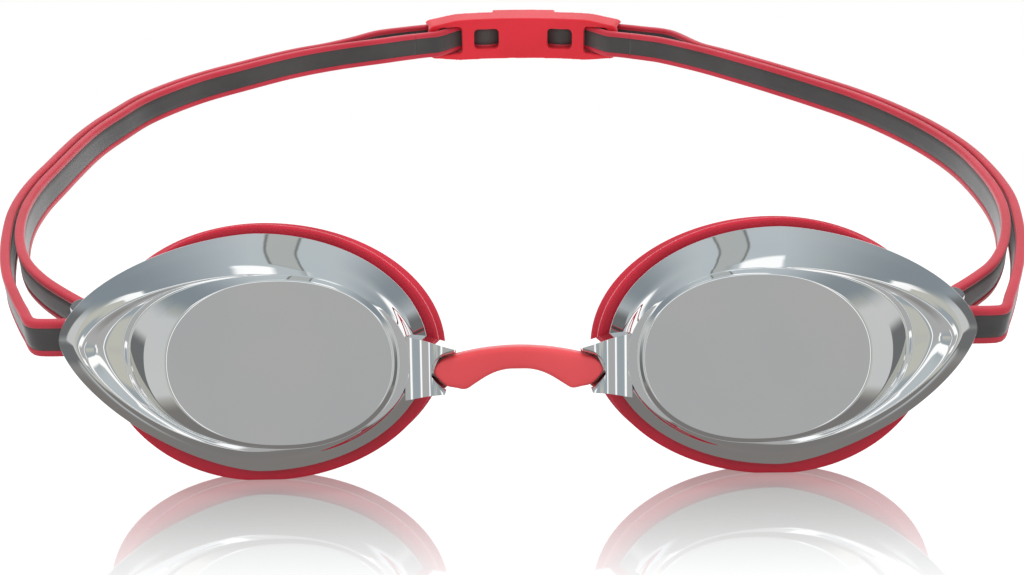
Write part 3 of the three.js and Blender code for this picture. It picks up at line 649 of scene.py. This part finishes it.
def make_socket(side):
    sign = SIDES[side]
    lip = SOCKET_GAP + SOCKET_LIP
    outer_x, inner_x = NOSE_END_X + SOCKET_CHEEK, NOSE_END_X - 3.5
    front, rear = NOSE_FRONT_Y - 0.9, NOSE_REAR_Y + SOCKET_GAP + SOCKET_FLOOR
    top = [Vector((inner_x, lip - 1.8)), Vector((NOSE_END_X - 1.7, lip - 1.3)),
           Vector((outer_x, 2.2))]
    bottom = [Vector((inner_x, -1.6)), Vector((NOSE_END_X - 1.9, -3.9 - NOSE_ARCH_THICKNESS)),
              Vector((outer_x, -4.8 - NOSE_ARCH_THICKNESS))]
    stations, scoop_depth = 30, 0.75
    points = []
    for i in range(stations + 1):
        share = i / stations
        x = inner_x + (outer_x - inner_x) * share
        scoop = scoop_depth * math.sin(math.pi * smoothstep(share, 0.15, 1.0))
        high, low = ARCH_TOP_Z + height_at(top, x), ARCH_TOP_Z + height_at(bottom, x)
        points += [(sign * x, front + scoop, high), (sign * x, rear, high),
                   (sign * x, rear, low), (sign * x, front + scoop, low)]
    faces = grid_faces(stations + 1, 4, False)
    faces += [(0, 1, 2, 3), tuple(len(points) - 4 + k for k in (3, 2, 1, 0))]
    block = new_object(f"{side}_nose_socket", points, faces, [mirror])
    tongue = nose_outline(0.5)
    pocket = stacked("pocket", [(grown(tongue, SOCKET_GAP), front - 5),
                                (grown(tongue, SOCKET_GAP), NOSE_REAR_Y + SOCKET_GAP)], [mirror])
    mouth = stacked("mouth", [(grown(tongue, SOCKET_GAP + MOUTH_FLARE), front - 0.4),
                              (grown(tongue, SOCKET_GAP - 0.1), front + 0.7)], [mirror])
    carved(block, [pocket, mouth])
    finished(block, ("BEVEL", {"width": 0.22 * MM, "segments": 3, "limit_method": "ANGLE",
                               "angle_limit": math.radians(28)}),
             ("WEIGHTED_NORMAL", {"keep_sharp": True}))
    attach(block, f"{side}_cup")


# ---- strap ----
# points of the strap's route, as shares of the way from one named place to the next
INNER_FRONT = {
    "left": [(0.285, 0.174), (0.474, 0.263), (0.675, 0.389), (0.859, 0.581), (0.972, 0.796)],
    "right": [(0.302, 0.174), (0.502, 0.266), (0.689, 0.399), (0.868, 0.591), (0.97, 0.784)],
}
INNER_REAR = {
    "left": [(0.011, 0.105), (0.049, 0.324), (0.096, 0.436), (0.158, 0.549), (0.299, 0.686),
             (0.469, 0.792), (0.636, 0.883), (0.801, 0.946)],
    "right": [(0.019, 0.151), (0.081, 0.291), (0.182, 0.428), (0.279, 0.525), (0.406, 0.625),
              (0.53, 0.715), (0.667, 0.809), (0.82, 0.907)],
}
OUTER_FRONT = {
    "left": [(0.149, 0.074), (0.33, 0.178), (0.543, 0.317), (0.745, 0.5)],
    "right": [(0.149, 0.081), (0.333, 0.194), (0.54, 0.338), (0.73, 0.499)],
}
NESTED_FROM, SPREAD_LENGTH, SPREAD_BEFORE_CLIP = 0.65, 18.0, 6.0


def on_arc(degrees, outside):
    a, radius = math.radians(degrees), BACK_RADIUS + outside
    return Vector((radius * math.sin(a), BACK_T - BACK_RADIUS + radius * math.cos(a)))


def degrees_of(length):
    return math.degrees(length / BACK_RADIUS)


def on_bend(degrees):
    a = math.radians(degrees)
    return Vector((BAR_X + BEND_RADIUS * math.cos(a), BEND_RADIUS * math.sin(a)))


def between(start, end, shares):
    return [Vector((start.x + (end.x - start.x) * u, start.y + (end.y - start.y) * v))
            for u, v in shares]


def arc_run(start_deg, end_deg, outside, count):
    return [on_arc(start_deg + (end_deg - start_deg) * i / (count - 1), outside)
            for i in range(count)]


def inner_route(side, clip_deg, end_length):
    """From the bend round the bar to a place on the back arc, by its length from the clip's middle."""
    widest = Vector(WIDEST[side])
    arc_deg = clip_deg + degrees_of(CLIP_HALF_LENGTH + ARC_BEYOND_CLIP)
    end_deg = clip_deg + degrees_of(end_length)
    route = [on_bend(LEAVING_DEG)] + between(Vector((BAR_X, 0)), widest, INNER_FRONT[side])
    route += [widest] + between(widest, on_arc(arc_deg, 0), INNER_REAR[side])
    route += arc_run(arc_deg, end_deg, 0, 4)
    return catmull_rom(route, STRAP_STEP)


def outer_route(side, clip_deg):
    inner = inner_route(side, clip_deg, CLIP_HALF_LENGTH)
    widest = Vector(WIDEST[side]) + Vector((NEST, 0))
    arc_deg = clip_deg + degrees_of(CLIP_HALF_LENGTH + ARC_BEYOND_CLIP)
    start = Vector((CUT_X + 2.4, -BEND_RADIUS + 0.4))
    spread_end = CLIP_HALF_LENGTH + SPREAD_BEFORE_CLIP
    route = [Vector((CUT_X - 2, -BEND_RADIUS)), Vector((CUT_X, -BEND_RADIUS)), start]
    route += between(start, widest, OUTER_FRONT[side])
    stride = 9
    for i in range(stride, len(inner) - 1, stride):
        p = inner[i]
        if p.y < widest.y * NESTED_FROM or p.x < on_arc(arc_deg, 0).x + 4:
            continue
        along = (inner[i + 1] - inner[i - 1]).normalized()
        spread = smoothstep(spread_end + SPREAD_LENGTH - p.x, 0, SPREAD_LENGTH)
        away = NEST + (OUTER_AT_CLIP - NEST) * spread
        route.append(Vector((p.x + along.y * away, p.y - along.x * away)))
    route += arc_run(arc_deg, clip_deg + degrees_of(OUTER_HALF_SPLIT), OUTER_AT_CLIP, 6)
    return catmull_rom(route, STRAP_STEP)


def woven_route(clip_deg):
    def at(length, outside):
        return on_arc(clip_deg + degrees_of(length), outside)
    slot_half, window_half = SLOT_LENGTH / 2, WINDOW_LENGTH / 2
    tail = [at(CLIP_HALF_LENGTH + JUNCTION + TAIL - k, 0) for k in range(0, 10, 3)]
    return catmull_rom(tail + [
        at(CLIP_HALF_LENGTH - GAP, 0), at(SLOT_AT + slot_half + 0.8, 0),
        at(SLOT_AT + slot_half * 0.6, WEAVE_REAR * 0.2), at(SLOT_AT, WEAVE_REAR * 0.5),
        at(SLOT_AT - slot_half * 0.6, WEAVE_REAR * 0.8), at(SLOT_AT - slot_half - 0.8, WEAVE_REAR),
        at(CLIP_WINDOW_AT + window_half, WEAVE_REAR), at(CLIP_WINDOW_AT, WEAVE_BULGE),
        at(CLIP_WINDOW_AT - window_half, WEAVE_REAR), at(STRAP_END_AT, WEAVE_REAR),
    ], STRAP_STEP / 2)


RAIL_EDGE, CORE_RECESS, SEAM_DEPTH, CORNER = 2.2, 0.09, 0.2, 0.5


def strap_section(shrink):
    """Points (n, w, is_rail) round the strap: two rounded rails with a sunk core between."""
    h, w = HALF_THICKNESS - shrink, HALF_WIDTH - shrink
    quarter = [(h - CORNER + CORNER * math.sin(a), w - CORNER + CORNER * math.cos(a), True)
               for a in (k * math.pi / 8 for k in range(5))]
    quarter += [(h + 0.02, RAIL_EDGE + 0.45, True), (h - 0.02, RAIL_EDGE + 0.16, True),
                (h - SEAM_DEPTH, RAIL_EDGE + 0.04, True), (h - SEAM_DEPTH, RAIL_EDGE - 0.04, False),
                (h - CORE_RECESS, RAIL_EDGE - 0.2, False),
                (h - CORE_RECESS + 0.02, RAIL_EDGE * 0.5, False)]
    face = quarter + [(h - CORE_RECESS + 0.02, 0.0, False)]
    face += [(n, -v, rail) for n, v, rail in reversed(quarter)]
    return face + [(-n, -v, rail) for n, v, rail in face]


def strap_point(x, t, w):
    """A point at x across, t back along the strap's tilted plane and w off that plane."""
    return (x, BAR_Y + t * math.cos(STRAP_RISE) - w * math.sin(STRAP_RISE),
            BAR_Z + t * math.sin(STRAP_RISE) + w * math.cos(STRAP_RISE))


def strap_band(name, route, sign, shrink_of=None):
    """A band swept along a route of (x, t) points in the strap's plane."""
    sections = [strap_section(shrink_of(p) if shrink_of else 0.0) for p in route]
    count = len(sections[0])
    points = []
    for i, p in enumerate(route):
        along = (route[min(i + 1, len(route) - 1)] - route[max(i - 1, 0)]).normalized()
        across = Vector((-along.y, along.x))
        for n, w, _ in sections[i]:
            x, t = p.x + across.x * n, p.y + across.y * n
            points.append(strap_point(sign * x, t, w))
    faces = grid_faces(len(route), count, False)
    rail, core = 0, 1
    kinds = [sections[0][j][2] and sections[0][(j + 1) % count][2] for j in range(count)]
    slots = [rail if kinds[j] else core for _ in range(len(route) - 1) for j in range(count)]
    for start in (0, len(points) - count):
        middle = sum((Vector(points[start + j]) for j in range(count)), Vector()) / count
        points.append(tuple(middle))
        faces += [(len(points) - 1, start + j, start + (j + 1) % count) for j in range(count)]
        slots += [rail if kinds[j] else core for j in range(count)]
    return new_object(name, points, faces, [rail_red, core_grey], slots)


def make_strap(side):
    sign = SIDES[side]
    clip_deg = sign * CLIP_MIDDLE_DEG
    bend = [on_bend(degrees) for degrees in range(264, LEAVING_DEG, -6)]
    straight = [Vector((x, -BEND_RADIUS)) for x in (CUT_X - 2.8, BAR_X + 2, BAR_X + 1, BAR_X)]
    run = list(reversed(outer_route(side, clip_deg))) + straight + bend
    run += inner_route(side, clip_deg, CLIP_HALF_LENGTH + JUNCTION)
    band = strap_band(f"{side}_strap_band", run, sign)
    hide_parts(f"{side}_strap_bend", f"{side}_strap_outer", f"{side}_strap_inner")
    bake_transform(band)

    tail_from = clip_deg + degrees_of(CLIP_HALF_LENGTH + 0.4)

    def shrink(p):
        degrees = math.degrees(math.atan2(p.x, p.y - (BACK_T - BACK_RADIUS)))
        return TAIL_SHRINK if degrees > tail_from else 0.0

    woven = strap_band(f"{side}_strap_woven_end", woven_route(clip_deg), sign, shrink)
    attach(woven, "strap_clip")
    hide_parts(f"{side}_strap_end")


# ---- strap bar on the wing ----

def make_strap_bar(side):
    sign = SIDES[side]
    reach = HALF_WIDTH + GAP + LUG_THICKNESS
    inner = HALF_WIDTH + GAP
    points, faces = [], []
    count = 24
    for w in (-reach + BAR_END_INSET, reach - BAR_END_INSET):
        for k in range(count):
            a = k / count * math.tau
            x, t = BAR_X + BAR_RADIUS * math.cos(a), BAR_RADIUS * math.sin(a)
            points.append(strap_point(sign * x, t, w))
    faces += grid_faces(2, count, False)
    faces += [tuple(range(count)), tuple(reversed(range(count, 2 * count)))]
    behind_tip = BAR_Y - TIP_Y
    for front, low, high in ((behind_tip - 1.2, inner, reach), (behind_tip + 2.2, -reach, -inner)):
        base = len(points)
        foot = BAR_X - LUG_LEAN
        near, far = BAR_X - LUG_HALF_WIDTH, BAR_X + LUG_HALF_WIDTH
        outline = [(foot - LUG_HALF_WIDTH, -front), (foot + 1.5, -front), (far, -BAR_RADIUS), (far, 0.0)]
        outline += [(BAR_X + LUG_HALF_WIDTH * math.cos(a), LUG_HALF_WIDTH * math.sin(a))
                    for a in (k * math.pi / 8 for k in range(1, 8))]
        outline += [(near, 0.0), (near, -BAR_RADIUS)]
        for w in (low, high):
            points += [strap_point(sign * x, t, w) for x, t in outline]
        n = len(outline)
        faces += [(base + j, base + (j + 1) % n, base + n + (j + 1) % n, base + n + j) for j in range(n)]
        faces += [tuple(base + j for j in range(n)), tuple(base + n + j for j in reversed(range(n)))]
    made = new_object(f"{side}_strap_bar", points, faces, [smoked])
    finished(made, ("BEVEL", {"width": 0.25 * MM, "segments": 3, "limit_method": "ANGLE",
                              "angle_limit": math.radians(40)}),
             ("WEIGHTED_NORMAL", {"keep_sharp": True}))
    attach(made, f"{side}_cup")


# ---- clip ----

def clip_block(name, start, end, front, rear, half_at, steps):
    """A block bent round the back arc; half_at gives its half height along its length."""
    points = []
    for i in range(steps + 1):
        length = start + (end - start) * i / steps
        degrees = CLIP_MIDDLE_DEG + degrees_of(length)
        half = half_at(length)
        for outside, w in ((front, half), (rear, half), (rear, -half), (front, -half)):
            p = on_arc(degrees, outside)
            points.append(strap_point(p.x, p.y, w))
    faces = grid_faces(steps + 1, 4, False)
    faces += [(0, 1, 2, 3), tuple(len(points) - 4 + k for k in (3, 2, 1, 0))]
    return new_object(name, points, faces, [clip_red])


def rounded_half(middle, length, half, radius):
    """Half height, along its length, of a rectangle with rounded corners."""
    def at(position):
        inside = length / 2 - abs(position - middle)
        if inside >= radius:
            return half
        return half - radius + math.sqrt(max(radius ** 2 - (radius - max(inside, 0.0)) ** 2, 0.0))
    return at


def make_clip():
    half_height = HALF_WIDTH + CLIP_BORDER
    ends = CLIP_HALF_LENGTH

    def outline(length):
        taper = (CLIP_BORDER - CLIP_END_BORDER) * smoothstep(abs(length), SLOT_AT - 4, ends)
        return rounded_half(0, 2 * ends, half_height, CLIP_CORNER)(length) - taper

    channel = HALF_WIDTH + GAP
    past = 4
    body = clip_block("strap_clip_body", -ends, ends, PLATE_FRONT, CLIP_REAR, outline, 160)
    cutters = [clip_block("channel", -ends - past, ends + past, PLATE_REAR, CLIP_REAR - CLIP_BACK,
                          lambda length: channel, 90)]
    for sign in (-1, 1):
        low, high = sorted((sign * KEEPER_HALF_LENGTH, sign * (ends + past)))
        cutters.append(clip_block("behind", low, high, CLIP_REAR - CLIP_BACK - 0.5, CLIP_REAR + past,
                                  lambda length: half_height + 1, 30))
        for middle, length, half in ((SLOT_AT, SLOT_LENGTH, channel),
                                     (CLIP_WINDOW_AT, WINDOW_LENGTH, HALF_WIDTH - 0.7)):
            at = sign * middle
            half_at = rounded_half(at, length, half, OPENING_CORNER)
            cutters.append(clip_block("opening", at - length / 2, at + length / 2,
                                      PLATE_FRONT - past, PLATE_REAR + 0.5, half_at, 28))
    carved(body, cutters)
    finished(body, ("REMESH", {"mode": "VOXEL", "voxel_size": CLIP_VOXEL * MM, "use_smooth_shade": True}),
             ("SMOOTH", {"factor": 0.5, "iterations": 6}))
    body.data.materials.clear()
    body.data.materials.append(clip_red)
    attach(body, "strap_clip")
    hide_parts("strap_clip")


for side_name in SIDES:
    make_lens(side_name)
    make_gasket(side_name)
    make_socket(side_name)
    make_strap_bar(side_name)
    make_strap(side_name)
make_nosepiece()
make_clip()


# ---- stage: floor, light and surroundings ----

FLOOR_REACH, FLOOR_DROP = 3.0, 0.00002         # metres
FLOOR_GLOW, FLOOR_GREY, FLOOR_ROUGHNESS = 0.72, 0.42, 0.03
LARGEST_GLOSS = 0.66


def make_floor():
    """A white floor that is glossy only near the goggles."""
    a = FLOOR_REACH
    mesh = bpy.data.meshes.new("floor")
    mesh.from_pydata([(-a, -a, 0), (a, -a, 0), (a, a, 0), (-a, a, 0)], [], [(0, 1, 2, 3)])
    floor = bpy.data.objects.new("floor", mesh)
    bpy.context.scene.collection.objects.link(floor)
    floor.location.z = -FLOOR_DROP
    material = bpy.data.materials.new("floor")
    material.use_nodes = True
    tree = material.node_tree
    tree.nodes.clear()
    nodes = Nodes(tree)
    where = nodes.add("ShaderNodeTexCoord").outputs["Object"]
    axes = nodes.add("ShaderNodeSeparateXYZ", {0: where}).outputs
    beside = nodes.math("ABSOLUTE", axes["X"])
    before = nodes.ramp(axes["Y"], -0.17, -0.08, 0.0, LARGEST_GLOSS)
    behind = nodes.ramp(axes["Y"], -0.06, 0.0, 1.0, 0.0)
    fade = nodes.math("MULTIPLY", before, behind)
    fade = nodes.math("MULTIPLY", fade, nodes.ramp(beside, 0.09, 0.13, 1.0, 0.0))
    white = (1, 1, 1, 1)
    grey = (FLOOR_GREY, FLOOR_GREY, FLOOR_GREY, 1)
    glow = nodes.add("ShaderNodeEmission", {"Color": white, "Strength": FLOOR_GLOW}).outputs[0]
    matte = nodes.add("ShaderNodeBsdfDiffuse", {"Color": grey}).outputs[0]
    base = nodes.add("ShaderNodeAddShader", {0: glow, 1: matte}).outputs[0]
    gloss = nodes.add("ShaderNodeBsdfGlossy", {"Color": white, "Roughness": FLOOR_ROUGHNESS}).outputs[0]
    both = nodes.add("ShaderNodeMixShader", {0: fade, 1: base, 2: gloss}).outputs[0]
    nodes.add("ShaderNodeOutputMaterial", {"Surface": both})
    mesh.materials.append(material)
    floor.visible_glossy = False


def make_surroundings():
    """White all round for the eye and for soft light, and a studio of panels for reflections."""
    scene = bpy.context.scene
    scene.world = bpy.data.worlds.new("studio")
    scene.world.use_nodes = True
    tree = scene.world.node_tree
    tree.nodes.clear()
    nodes = Nodes(tree)
    direction = nodes.add("ShaderNodeTexCoord").outputs["Generated"]
    axes = nodes.add("ShaderNodeSeparateXYZ", {0: direction}).outputs
    x, y, z = axes["X"], axes["Y"], axes["Z"]
    side = nodes.math("ABSOLUTE", x)

    def panel(*limits):
        """1 inside the limits, given as (value, low, high, softness), and 0 outside."""
        inside = None
        for value, low, high, soft in limits:
            rises = nodes.ramp(value, low - soft, low + soft)
            falls = nodes.ramp(value, high - soft, high + soft, 1.0, 0.0)
            both = nodes.math("MULTIPLY", rises, falls)
            inside = both if inside is None else nodes.math("MULTIPLY", inside, both)
        return inside

    far = 2.0                               # beyond any direction
    front = (y, -far, -0.12, 0.04)
    colour = seen(166, 166, 166)
    # each panel covers the ones before it where it lies
    for mask, shade in (
        (nodes.ramp(z, 0.1, 0.7), (178, 186, 190)),
        (panel((side, 0.46, 0.62, 0.05), (z, -0.5, 0.6, 0.15), front), (150, 159, 164)),
        (panel((side, 0.62, 0.84, 0.04), (z, -0.6, 0.6, 0.15), front), (184, 184, 175)),
        (panel((side, 0.84, far, 0.02), (z, -0.5, 0.5, 0.1), front), (192, 193, 193)),
        (nodes.ramp(y, 0.1, 0.6), (180, 187, 191)),
        (panel((side, 0.45, far, 0.25), (z, 0.45, far, 0.15)), (128, 137, 143)),
        (panel((z, -far, -0.5, 0.1), (y, -0.42, far, 0.15)), (118, 115, 113)),
        (panel((side, 0.86, far, 0.03), (z, -0.75, 0.5, 0.1), (y, -0.12, 0.75, 0.04)), (104, 106, 107)),
        (panel((z, -0.2, 0.6, 0.05), (y, 0.72, far, 0.06)), (255, 255, 255)),
        (panel((x, -0.135, 0.04, 0.006), (z, 0.75, far, 0.02), (y, -0.2, 0.6, 0.03)), (120, 122, 120)),
        (panel((x, -0.12, 0.025, 0.006), (z, 0.75, far, 0.02), (y, -0.2, 0.6, 0.03)), (168, 172, 171)),
        (panel((x, -0.34, -0.13, 0.02), (z, 0.75, far, 0.02), (y, -0.36, -0.28, 0.02)), (255, 255, 255)),
        (panel((x, 0.04, 0.24, 0.02), (z, 0.6, far, 0.02), (y, -0.62, -0.2, 0.05)), (255, 255, 255)),
        (panel((z, 0.36, 0.52, 0.02), (side, -0.1, 0.7, 0.05), front), (255, 255, 255)),
        (panel((side, 0.34, 0.44, 0.02), (z, -0.55, 0.3, 0.05), front), (255, 255, 255)),
    ):
        colour = nodes.mix(mask, colour, seen(*shade))
    path = nodes.add("ShaderNodeLightPath").outputs
    soft = nodes.mix(nodes.ramp(z, -0.5, 0.6), (0.5, 0.5, 0.5, 1), (0.95, 0.95, 0.95, 1))
    lit = nodes.mix(path["Is Glossy Ray"], soft, colour)
    shown = nodes.mix(path["Is Camera Ray"], lit, (1, 1, 1, 1))
    background = nodes.add("ShaderNodeBackground", {"Color": shown, "Strength": 1.0}).outputs[0]
    nodes.add("ShaderNodeOutputWorld", {"Surface": background})


def area_light(name, at, towards, size, watts):
    data = bpy.data.lights.new(name, "AREA")
    data.shape = "RECTANGLE"
    data.size, data.size_y = size
    data.energy = watts
    light = bpy.data.objects.new(name, data)
    bpy.context.scene.collection.objects.link(light)
    light.location = at
    light.rotation_euler = (Vector(towards) - Vector(at)).to_track_quat("-Z", "Y").to_euler()
    light.visible_glossy = False


make_floor()
make_surroundings()
area_light("top_softbox", (0.0, -0.15, 0.75), (0, 0, 0.03), (0.5, 0.3), 2.0)
scene_view = bpy.context.scene.view_settings
scene_view.view_transform = "Standard"
